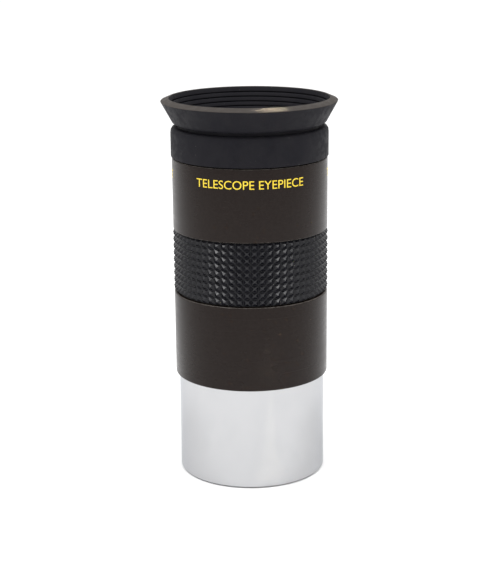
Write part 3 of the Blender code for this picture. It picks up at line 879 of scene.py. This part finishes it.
# %% Edge wear
def make_edge_wear():
    """Where handling has rubbed a turned edge, near either of two levels."""
    group, start, end = new_group(
        "edge_wear", [("Low Level", 0.0), ("High Level", 10.0), ("Reach", 0.3),
                      ("Beyond Radius", 0.0)], ["Mask"])
    where = place_in_mm(group)
    level = height_of(group, where)
    near = []
    for name in ("Low Level", "High Level"):
        gap = add_math(group, "ABSOLUTE", add_math(
            group, "SUBTRACT", level, start.outputs[name]))
        near.append(gap)
    closest = add_math(group, "MINIMUM", *near)
    ragged = add_range(group, add_noise(group, where, 1.1, 5.0, 0.7), 0.3, 0.75, 0.15, 1.6)
    reach = add_math(group, "MULTIPLY", start.outputs["Reach"], ragged)
    worn = add_range(group, closest, reach, 0.0)
    outside = add_math(
        group, "GREATER_THAN", distance_from_axis(group, where), start.outputs["Beyond Radius"])
    group.links.new(add_math(group, "MULTIPLY", worn, outside), end.inputs["Mask"])
    return group


# %% Dust
def make_dust():
    """Tiny separate specks, each cell of a Voronoi pattern holding at most one."""
    group, start, end = new_group(
        "dust", [("Specks per mm", 1.2), ("Speck Size", 0.1), ("Amount", 0.3)], ["Mask"])
    where = place_in_mm(group)
    cells = group.nodes.new("ShaderNodeTexVoronoi")
    cells.inputs["Randomness"].default_value = 1.0
    group.links.new(where, cells.inputs["Vector"])
    group.links.new(start.outputs["Specks per mm"], cells.inputs["Scale"])
    parts = group.nodes.new("ShaderNodeSeparateColor")
    group.links.new(cells.outputs["Color"], parts.inputs["Color"])
    chosen = add_math(group, "LESS_THAN", parts.outputs["Red"], start.outputs["Amount"])
    size = add_math(group, "MULTIPLY", start.outputs["Speck Size"], add_math(
        group, "ADD", 0.35, parts.outputs["Green"]))
    speck = add_range(group, cells.outputs["Distance"], size, 0.0)
    group.links.new(add_math(group, "MULTIPLY", speck, chosen), end.inputs["Mask"])
    return group


GROUPS = {
    "lathe_marks": make_lathe_marks(),
    "fine_grain": make_fine_grain(),
    "smudges": make_smudges(),
    "edge_wear": make_edge_wear(),
    "dust": make_dust(),
}
print("shared groups:", ", ".join(GROUPS))

# %% [markdown]
# ## Finishes
#
# Each finish is one material: a Principled BSDF, fed by the groups above. The helpers below
# place a group with its own values, blend two colours or two numbers by a mask, and collect
# heights into one Bump node.

# %% Material helpers
def new_finish(name, **settings):
    """A material with its Principled BSDF's plain sockets set by name."""
    material = bpy.data.materials.new(name)
    material.use_nodes = True
    tree = material.node_tree
    shader = next(node for node in tree.nodes if node.type == "BSDF_PRINCIPLED")
    for label, value in settings.items():
        shader.inputs[label.replace("_", " ")].default_value = value
    return material, tree, shader


def effect(tree, name, output, **values):
    """Place a shared group with its own values and return one of its outputs."""
    node = tree.nodes.new("ShaderNodeGroup")
    node.node_tree = GROUPS[name]
    for label, value in values.items():
        node.inputs[label.replace("_", " ")].default_value = value
    return node.outputs[output]


def mix_colours(tree, mask, first, second):
    """Blend from the first colour to the second as the mask goes from 0 to 1."""
    node = tree.nodes.new("ShaderNodeMix")
    node.data_type = "RGBA"
    tree.links.new(mask, node.inputs["Factor"])
    for socket, value in ((node.inputs[6], first), (node.inputs[7], second)):
        if isinstance(value, bpy.types.NodeSocket):
            tree.links.new(value, socket)
        else:
            socket.default_value = (*value, 1.0)
    return node.outputs[2]


def raise_bumps(tree, shader, *heights):
    """Feed Normal from a chain of Bump nodes; each height is (socket, depth in millimetres)."""
    normal = None
    for height, depth in heights:
        bump = tree.nodes.new("ShaderNodeBump")
        bump.inputs["Strength"].default_value = 1.0
        bump.inputs["Distance"].default_value = depth * MM
        tree.links.new(height, bump.inputs["Height"])
        if normal:
            tree.links.new(normal, bump.inputs["Normal"])
        normal = bump.outputs["Normal"]
    tree.links.new(normal, shader.inputs["Normal"])


# %% [markdown]
# ### Metal finishes
#
# The chrome is nearly a mirror. Very light lathe marks and smudges stretch its reflections, and
# the rim that meets the table is rubbed a little duller. The black housing is anodised: a thin
# dyed skin over aluminium, smooth but not a mirror, with a faintly warm tone. Rubbed edges show
# a paler metal. The same skin inside the bores is matt, so that it swallows light.

# %% Chrome
chrome, tree, shader = new_finish("polished_chrome", Metallic=1.0, Anisotropic=0.85)
shader.inputs["Specular Tint"].default_value = (0.78, 0.79, 0.81, 1.0)
around = tree.nodes.new("ShaderNodeTangent")
around.direction_type = "RADIAL"
around.axis = "Z"
tree.links.new(around.outputs["Tangent"], shader.inputs["Tangent"])
smudge = effect(tree, "smudges", "Mask", Patches_per_mm=0.16, Cover=0.42)
streak = effect(tree, "lathe_marks", "Streak", Marks_per_mm=5.0)
worn = effect(tree, "edge_wear", "Mask", Low_Level=0.1, High_Level=BARREL_SHOULDER,
              Reach=0.5, Beyond_Radius=15.0)
tinted = mix_colours(tree, smudge, (0.503, 0.505, 0.515), (0.489, 0.492, 0.503))
tree.links.new(
    mix_colours(tree, worn, tinted, (0.47, 0.47, 0.48)), shader.inputs["Base Color"])
dull = add_math(tree, "ADD", add_range(tree, streak, 0.35, 0.65, 0.13, 0.17), add_math(
    tree, "MULTIPLY", smudge, 0.03))
tree.links.new(add_math(tree, "ADD", dull, add_math(
    tree, "MULTIPLY", worn, 0.15), clamp=True), shader.inputs["Roughness"])
raise_bumps(tree, shader,
            (effect(tree, "lathe_marks", "Height", Marks_per_mm=9.0), 0.0005),
            (effect(tree, "fine_grain", "Height", Grains_per_mm=0.4), 0.0010))

# %% Black anodised skin
anodised, tree, shader = new_finish("black_anodised_skin", Metallic=0.0)
shader.inputs["Specular IOR Level"].default_value = 0.15
smudge = effect(tree, "smudges", "Mask", Patches_per_mm=0.11, Cover=0.45)
grain = effect(tree, "fine_grain", "Mask", Grains_per_mm=14.0)
worn = effect(tree, "edge_wear", "Mask", Low_Level=HOUSING_BOTTOM + 0.03,
              High_Level=HOUSING_EDGE_LOW - 0.03, Reach=0.12, Beyond_Radius=16.3)
rubbed = effect(tree, "edge_wear", "Mask", Low_Level=HOUSING_EDGE_HIGH + 0.03,
                High_Level=SHOULDER - 0.03, Reach=0.10, Beyond_Radius=16.3)
skin = mix_colours(tree, grain, (0.0115, 0.0070, 0.0056), (0.0140, 0.0092, 0.0076))
edges = add_math(tree, "MAXIMUM", worn, rubbed)
tree.links.new(
    mix_colours(tree, add_math(tree, "MULTIPLY", edges, 0.55), skin, (0.16, 0.145, 0.13)),
    shader.inputs["Base Color"])
tree.links.new(add_math(tree, "ADD", add_math(tree, "MULTIPLY", smudge, 0.06), add_range(
    tree, effect(tree, "lathe_marks", "Streak", Marks_per_mm=4.0), 0.3, 0.7, 0.24, 0.28)),
    shader.inputs["Roughness"])
raise_bumps(tree, shader,
            (effect(tree, "lathe_marks", "Height", Marks_per_mm=7.0), 0.0005),
            (effect(tree, "fine_grain", "Height", Grains_per_mm=12.0), 0.0008))

# %% Matt black for the bores and the cell
matt, tree, shader = new_finish("matt_bore_black", Metallic=0.0)
shader.inputs["Specular IOR Level"].default_value = 0.35
grain = effect(tree, "fine_grain", "Mask", Grains_per_mm=8.0)
specks = effect(tree, "dust", "Mask", Specks_per_mm=0.7, Speck_Size=0.09, Amount=0.2)
paint = mix_colours(tree, grain, (0.008, 0.008, 0.008), (0.014, 0.013, 0.0125))
tree.links.new(
    mix_colours(tree, add_math(tree, "MULTIPLY", specks, 0.5), paint, (0.10, 0.10, 0.10)),
    shader.inputs["Base Color"])
tree.links.new(add_range(tree, grain, 0.0, 1.0, 0.55, 0.72), shader.inputs["Roughness"])
raise_bumps(tree, shader,
            (effect(tree, "fine_grain", "Height", Grains_per_mm=9.0), 0.008),
            (effect(tree, "lathe_marks", "Height", Marks_per_mm=4.0), 0.003))

# %% Steel of the lock screw
steel, tree, shader = new_finish("blackened_steel", Metallic=1.0)
grain = effect(tree, "fine_grain", "Mask", Grains_per_mm=10.0)
tree.links.new(mix_colours(tree, grain, (0.10, 0.10, 0.105), (0.22, 0.22, 0.225)),
               shader.inputs["Base Color"])
tree.links.new(add_range(tree, grain, 0.0, 1.0, 0.28, 0.45), shader.inputs["Roughness"])
raise_bumps(tree, shader, (effect(tree, "fine_grain", "Height", Grains_per_mm=12.0), 0.003))

# %% [markdown]
# ### Rubber, paint and nylon
#
# The eyecup's rubber is matt with a dusty bloom and a faint blue cast, and its rim, which faces
# up, is painted paler as painted light. The grip is a harder, glossier rubber, so each small
# slope flashes. The paint in the letters is thick and slightly uneven. The seals are plain grey nylon.

# %% Eyecup rubber
rubber, tree, shader = new_finish("soft_black_rubber", Metallic=0.0)
shader.inputs["Specular IOR Level"].default_value = 0.10
grain = effect(tree, "fine_grain", "Mask", Grains_per_mm=5.0)
smudge = effect(tree, "smudges", "Mask", Patches_per_mm=0.2, Cover=0.5)
specks = effect(tree, "dust", "Mask", Specks_per_mm=0.9, Speck_Size=0.11, Amount=0.22)
# Painted light: the marked rim that faces up is mixed to a paler colour, standing for the light on it.
rim = tree.nodes.new("ShaderNodeAttribute")
rim.attribute_name = "painted_rim_light"
body = mix_colours(tree, grain, (0.0078, 0.0075, 0.0104), (0.0108, 0.0104, 0.0136))
hazy = mix_colours(tree, add_math(tree, "MULTIPLY", smudge, 0.35), body, (0.0165, 0.0155, 0.0178))
rim_lightened = mix_colours(tree, add_math(
    tree, "MULTIPLY", rim.outputs["Fac"], 0.9), hazy, (0.054, 0.047, 0.042))
tree.links.new(
    mix_colours(tree, add_math(tree, "MULTIPLY", specks, 0.5), rim_lightened, (0.16, 0.15, 0.14)),
    shader.inputs["Base Color"])
tree.links.new(add_range(tree, grain, 0.0, 1.0, 0.52, 0.68), shader.inputs["Roughness"])
raise_bumps(tree, shader,
            (effect(tree, "fine_grain", "Height", Grains_per_mm=7.0), 0.010),
            (effect(tree, "fine_grain", "Height", Grains_per_mm=1.6), 0.020))

# %% Grip rubber
grip_rubber, tree, shader = new_finish("hard_grip_rubber", Metallic=0.0)
shader.inputs["Specular IOR Level"].default_value = 0.28
grain = effect(tree, "fine_grain", "Mask", Grains_per_mm=6.0)
specks = effect(tree, "dust", "Mask", Specks_per_mm=1.0, Speck_Size=0.10, Amount=0.25)
body = mix_colours(tree, grain, (0.0040, 0.0040, 0.0062), (0.0062, 0.0060, 0.0088))
tree.links.new(
    mix_colours(tree, add_math(tree, "MULTIPLY", specks, 0.4), body, (0.13, 0.12, 0.12)),
    shader.inputs["Base Color"])
tree.links.new(add_range(tree, grain, 0.0, 1.0, 0.24, 0.34), shader.inputs["Roughness"])
raise_bumps(tree, shader, (effect(tree, "fine_grain", "Height", Grains_per_mm=8.0), 0.0015))

# %% Yellow paint
yellow, tree, shader = new_finish("yellow_letter_paint", Metallic=0.0)
grain = effect(tree, "fine_grain", "Mask", Grains_per_mm=4.0)
tree.links.new(mix_colours(tree, grain, (0.86, 0.62, 0.025), (0.90, 0.70, 0.045)),
               shader.inputs["Base Color"])
tree.links.new(add_range(tree, grain, 0.0, 1.0, 0.34, 0.48), shader.inputs["Roughness"])
raise_bumps(tree, shader, (effect(tree, "fine_grain", "Height", Grains_per_mm=5.0), 0.004))

# %% Nylon seals
nylon, tree, shader = new_finish("grey_nylon", Metallic=0.0, Roughness=0.45)
grain = effect(tree, "fine_grain", "Mask", Grains_per_mm=5.0)
tree.links.new(mix_colours(tree, grain, (0.045, 0.045, 0.045), (0.065, 0.065, 0.066)),
               shader.inputs["Base Color"])
tree.links.new(add_range(tree, grain, 0.0, 1.0, 0.4, 0.55), shader.inputs["Roughness"])
raise_bumps(tree, shader, (effect(tree, "fine_grain", "Height", Grains_per_mm=7.0), 0.003))

# %% [markdown]
# ### Coated glass
#
# Lens glass is clear, and its coating shows only as a faint violet or green reflection. Crown
# and flint bend light by different amounts, so each has its own refractive index. The ground
# cylinder round each lens is blackened, so the side faces take a second material.

# %% Glass
def coated_glass(name, ior, body_colour, reflection):
    material, tree, shader = new_finish(name, Metallic=0.0, Roughness=0.02, IOR=ior)
    shader.inputs["Transmission Weight"].default_value = 1.0
    shader.inputs["Specular Tint"].default_value = (*reflection, 1.0)
    haze = effect(tree, "smudges", "Mask", Patches_per_mm=0.14, Cover=0.35)
    clear = tuple(c * 0.97 for c in body_colour)
    tree.links.new(mix_colours(tree, haze, body_colour, clear), shader.inputs["Base Color"])
    tree.links.new(add_range(tree, haze, 0.0, 1.0, 0.012, 0.03), shader.inputs["Roughness"])
    return material


crown_glass = coated_glass("coated_crown_glass", 1.517, (0.97, 0.99, 0.975), (0.45, 0.75, 0.60))
flint_glass = coated_glass("coated_flint_glass", 1.62, (0.96, 0.985, 0.98), (0.55, 0.42, 0.95))
print("materials:", len(bpy.data.materials))

# %% [markdown]
# ## Dressing the pieces
#
# Each piece gets its finish and says two things: which imported nodes it stands for, which are
# hidden, and which body it moves with. The barrel and the housing halves have a second finish
# on the faces inside their bores.

# %% Assign finishes
def dress(piece, *materials):
    piece.data.materials.clear()
    for material in materials:
        piece.data.materials.append(material)


def blacken_inside(piece, limit, high=1000.0, low=-1000.0):
    """Give the second material to the faces nearer to the axis than the limit."""
    count = 0
    for face in piece.data.polygons:
        inside = face.center.xy.length < limit * MM and low * MM < face.center.z < high * MM
        face.material_index = 1 if inside else 0
        count += inside
    print(f"{piece.name}: {count} faces inside are matt")


dress(barrel, chrome, matt)
blacken_inside(barrel, FILTER_ROOT - 0.1, low=FILTER_DEPTH + 0.05)
for half, limit in ((lower_half, 15.1), (upper_half, 13.5)):
    dress(half, anodised, matt)
    blacken_inside(half, limit)
dress(lettering, yellow)
dress(grip, grip_rubber)
dress(eyecup, rubber)
for piece in (cell, lock_ring, field_stop, baffle, spacer, retainer):
    dress(piece, matt)
for piece in (eye_seal, field_seal):
    dress(piece, nylon)
for piece, glass in zip(lenses, (flint_glass, crown_glass, crown_glass, flint_glass)):
    dress(piece, glass, matt)
    for face in piece.data.polygons:
        if face.center.xy.length > 0.99 * LENS_RADIUS * MM and abs(face.normal.z) < 0.1:
            face.material_index = 1
dress(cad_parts["housing_lock_screw"], steel)

# %% Say what each piece stands for and what it rides on
PLACES = [      # piece, nodes that it replaces, body, slot
    (barrel, ["barrel"], "barrel", "chrome"),
    (lower_half, ["lower_housing"], "housing", "black_anodised"),
    (upper_half, ["upper_housing"], "housing", "black_anodised"),
    (lettering, [], "housing", "yellow_paint"),
    (grip, ["grip_ring"], "housing", "rubber"),
    (cell, ["lens_cell"], "housing", "matt_black"),
    (lock_ring, ["cell_lock_ring"], "housing", "matt_black"),
    (field_stop, ["field_stop_ring"], "housing", "matt_black"),
    (baffle, ["light_baffle"], "housing", "matt_black"),
    (retainer, ["field_lens_retainer"], "housing", "matt_black"),
    (eye_seal, ["eye_lens_seal"], "housing", "nylon"),
    (field_seal, ["field_lens_seal"], "housing", "nylon"),
    (spacer, ["lens_spacer"], "lens_stack", "matt_black"),
    (lenses[0], ["eye_lens_flint"], "lens_stack", "flint_glass"),
    (lenses[1], ["eye_lens_crown"], "lens_stack", "crown_glass"),
    (lenses[2], ["field_lens_crown"], "lens_stack", "crown_glass"),
    (lenses[3], ["field_lens_flint"], "lens_stack", "flint_glass"),
]
for piece, nodes, body_name, slot in PLACES:
    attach(piece, body_name)
    if nodes:
        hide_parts(*nodes)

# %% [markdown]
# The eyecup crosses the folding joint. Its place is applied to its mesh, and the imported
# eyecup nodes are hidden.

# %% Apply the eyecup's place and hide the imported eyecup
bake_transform(eyecup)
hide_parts("eyecup_sleeve", "eyecup_skirt", "eyecup_lip")

# %% [markdown]
# ## Floor, light and camera
#
# The eyepiece stands on a plain pale table in a white light tent. The tent is an even white
# world. Two large soft lights stand high at the front left and right, which picks out the
# upper slopes of the grip, and one above brightens the table and the rim.

# %% Floor
start_fresh()
bpy.ops.mesh.primitive_plane_add(size=8.0, location=(0, 2.0, -0.00002))
floor = bpy.context.object
floor.name = "pale_table"
paper, tree, shader = new_finish("pale_table_paper", Metallic=0.0, Roughness=0.9)
shader.inputs["Specular IOR Level"].default_value = 0.1
grain = effect(tree, "fine_grain", "Mask", Grains_per_mm=0.6)
tree.links.new(mix_colours(tree, grain, (0.93, 0.93, 0.93), (0.95, 0.95, 0.95)),
               shader.inputs["Base Color"])
dress(floor, paper)

# %% World and lights
world = bpy.data.worlds.new("light_tent")
bpy.context.scene.world = world
world.use_nodes = True
sky = world.node_tree
tent = sky.nodes["Background"]
tent.inputs["Color"].default_value = (1.0, 1.0, 1.0, 1.0)
direction = sky.nodes.new("ShaderNodeTexCoord")
parts = sky.nodes.new("ShaderNodeSeparateXYZ")
sky.links.new(direction.outputs["Generated"], parts.inputs["Vector"])
overhead = add_range(sky, parts.outputs["Z"], 0.0, 0.8, 0.78, 1.30)
behind = add_range(sky, parts.outputs["Y"], -0.6, 0.8, 1.0, 0.85)
lit = add_math(sky, "MULTIPLY", overhead, behind)
seen = sky.nodes.new("ShaderNodeLightPath").outputs["Is Camera Ray"]
sky.links.new(add_math(sky, "MAXIMUM", lit, add_math(sky, "MULTIPLY", seen, 1.3)),
              tent.inputs["Strength"])


def soft_light(name, place, target, size, power, colour=(1, 1, 1)):
    """A square area light that faces its target."""
    data = bpy.data.lights.new(name, "AREA")
    data.shape = "SQUARE"
    data.size = size
    data.energy = power
    data.color = colour
    light = bpy.data.objects.new(name, data)
    bpy.context.scene.collection.objects.link(light)
    light.location = place
    light.rotation_euler = (Vector(target) - Vector(place)).to_track_quat("-Z", "Y").to_euler()
    return light


AIM = (0, 0, 0.05)
WARM = (1.0, 0.90, 0.66)
STREAK_TURN = radians(28)
STREAK_PLACE = (0.025, -0.055, 0.22)
soft_light("left_overhead_light", (-0.235, -0.040, 0.53), AIM, 0.15, 0.85)
soft_light("right_overhead_light", (0.235, -0.040, 0.53), AIM, 0.15, 0.70)
soft_light("front_soft_light", (0.0, -0.30, 0.62), AIM, 0.36, 0.34)
streak = soft_light("warm_streak_light", STREAK_PLACE, (*STREAK_PLACE[:2], 0), 0.005, 0.010, WARM)
streak.rotation_euler = (0, 0, STREAK_TURN)
streak.data.shape = "RECTANGLE"
streak.data.size_y = 0.095
streak.data.spread = radians(2)

# %% [markdown]
# The camera stands a third of a metre in front and looks down a little, so the eyecup shows as
# an open ellipse. It is turned by a hair about its own axis, as a hand-held camera is.

# %% Camera
CAMERA_DISTANCE = 0.3119806
CAMERA_HEIGHT = 0.1248555
LOOK_DOWN = 0.2605
LOOK_ASIDE = -0.0006
CAMERA_ROLL = -0.0091
FOCAL_LENGTH = 94.56
forward = Vector((sin(LOOK_ASIDE) * cos(LOOK_DOWN), cos(LOOK_ASIDE) * cos(LOOK_DOWN),
                  -sin(LOOK_DOWN)))
right = Vector((cos(LOOK_ASIDE), -sin(LOOK_ASIDE), 0))
up = right.cross(forward)
across = right * cos(CAMERA_ROLL) + up * sin(CAMERA_ROLL)
upward = up * cos(CAMERA_ROLL) - right * sin(CAMERA_ROLL)
camera_data = bpy.data.cameras.new("camera")
camera_data.lens = FOCAL_LENGTH
camera_data.sensor_width = 36.0
camera_data.clip_start = 0.01
camera = bpy.data.objects.new("camera", camera_data)
bpy.context.scene.collection.objects.link(camera)
axes = Matrix((across, upward, -forward)).transposed()
camera.matrix_world = Matrix.Translation((0, -CAMERA_DISTANCE, CAMERA_HEIGHT)) @ axes.to_4x4()
bpy.context.scene.camera = camera

# %% Colour
scene = bpy.context.scene
scene.view_settings.view_transform = "Standard"
scene.view_settings.look = "None"
